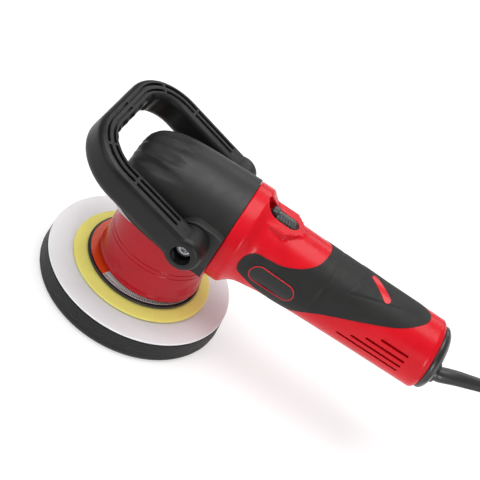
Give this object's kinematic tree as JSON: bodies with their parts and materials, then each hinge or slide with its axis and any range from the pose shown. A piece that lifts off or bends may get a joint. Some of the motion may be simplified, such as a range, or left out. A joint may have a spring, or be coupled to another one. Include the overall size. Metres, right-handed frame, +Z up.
{
  "type": "dual action polisher",
  "caption": "Hand-held random orbit polisher with a D-shaped front handle, a round foam pad on an offset bearing, a barrel grip with a sliding switch, a speed wheel and a coiled power cord.",
  "frame": {"origin": "centre of the drive spindle's axis on the foam pad's working face, where the pad rests on the work", "axes": "+Z up along the drive spindle, away from the work; +X back along the motor barrel towards the cord; +Y to the right of someone who holds the barrel and looks towards the head"},
  "size_m": [0.5556, 0.168, 0.1554],
  "materials": {
    "foam": "open-cell foam, matt",
    "loop_cloth": "brushed loop cloth",
    "hook_plastic": "fine hooks, matt",
    "yellow_cushion": "dense foam, satin",
    "backing_rubber": "moulded, satin",
    "label_film": "printed film in plain coloured sectors",
    "steel": "turned",
    "hub_iron": "machined casting",
    "bearing_steel": "ground",
    "gear_steel": "cut teeth, oiled",
    "lamination": "stacked sheet, varnished",
    "copper": "enamelled copper",
    "fan_plastic": "moulded, matt",
    "carbon": "pressed carbon",
    "brass": "stamped",
    "red_gloss": "gloss paint",
    "cast_aluminium": "die cast",
    "black_plastic": "fine texture",
    "red_plastic": "gloss",
    "black_rubber": "soft grip, fine texture",
    "badge": "plain plate with a red rim",
    "inlay": "plain, no mark",
    "handle_rubber": "soft grip, fine texture",
    "cord_rubber": "smooth, satin",
    "tie_rubber": "strap"
  },
  "bodies": {
    "housing": {"field_core": "lamination", "field_coil_upper": "copper", "field_coil_lower": "copper", "motor_bearing_front": "bearing_steel", "motor_bearing_rear": "bearing_steel", "brush_left": "carbon", "brush_right": "carbon", "brush_holder_left": "brass", "brush_holder_right": "brass", "nose_casting": "red_gloss", "spindle_bearing_lower": "bearing_steel", "bearing_plate": "cast_aluminium", "head_cover": "black_plastic", "gear_housing": "cast_aluminium", "spindle_bearing_upper": "bearing_steel", "shell_left": "red_plastic", "shell_right": "red_plastic", "grip_boot": "black_rubber", "badge_plate": "badge", "palm_inlay": "inlay", "shell_screw_1": "steel", "shell_screw_2": "steel", "shell_screw_3": "steel", "shell_screw_4": "steel", "tail_cap": "black_plastic", "switch_body": "fan_plastic", "speed_module": "fan_plastic", "d_handle": "handle_rubber", "handle_screw_left": "steel", "handle_screw_right": "steel", "strain_relief": "cord_rubber", "cord_clamp": "fan_plastic", "power_cord": "cord_rubber", "cord_coil": "cord_rubber", "cord_tie": "tie_rubber", "plug_lead": "cord_rubber", "plug_body": "cord_rubber", "plug_blade_line": "brass", "plug_blade_neutral": "brass"},
    "spindle": {"drive_spindle": "steel", "ring_gear": "gear_steel", "counterweight_hub": "hub_iron", "pad_bearing": "bearing_steel"},
    "armature": {"armature_shaft": "steel", "pinion": "gear_steel", "armature_core": "lamination", "commutator": "copper", "cooling_fan": "fan_plastic"},
    "pad": {"pad_pin": "steel", "backing_plate": "backing_rubber", "label_disc": "label_film", "plate_cushion": "yellow_cushion", "hook_sheet": "hook_plastic", "pad_loop_face": "loop_cloth", "foam_pad": "foam"},
    "switch_slide": {"switch_knob": "black_plastic", "switch_rod": "fan_plastic"},
    "dial": {"speed_dial": "black_plastic"}
  },
  "joints": [
    {"name": "spindle_spin", "type": "hinge", "parent": "housing", "child": "spindle", "pos_m": [0, 0, 0.08], "axis": [0, 0, 1], "continuous": true},
    {"name": "armature_spin", "type": "hinge", "parent": "housing", "child": "armature", "pos_m": [0.1, 0, 0.1105], "axis": [1, 0, 0], "continuous": true},
    {"name": "pad_spin", "type": "hinge", "parent": "spindle", "child": "pad", "pos_m": [-0.004, 0, 0.04], "axis": [0, 0, 1], "continuous": true},
    {"name": "switch_slide", "type": "slide", "parent": "housing", "child": "switch_slide", "axis": [-1, 0, 0], "range_m": [0, 0.0045]},
    {"name": "speed_dial_turn", "type": "hinge", "parent": "housing", "child": "dial", "pos_m": [0.216, 0.0206, 0.111], "axis": [0, 0, 1], "range_deg": [0, 260]}
  ],
  "couplings": [
    {"joint": "armature_spin", "follows": "spindle_spin", "ratio": 3.6667}
  ]
}
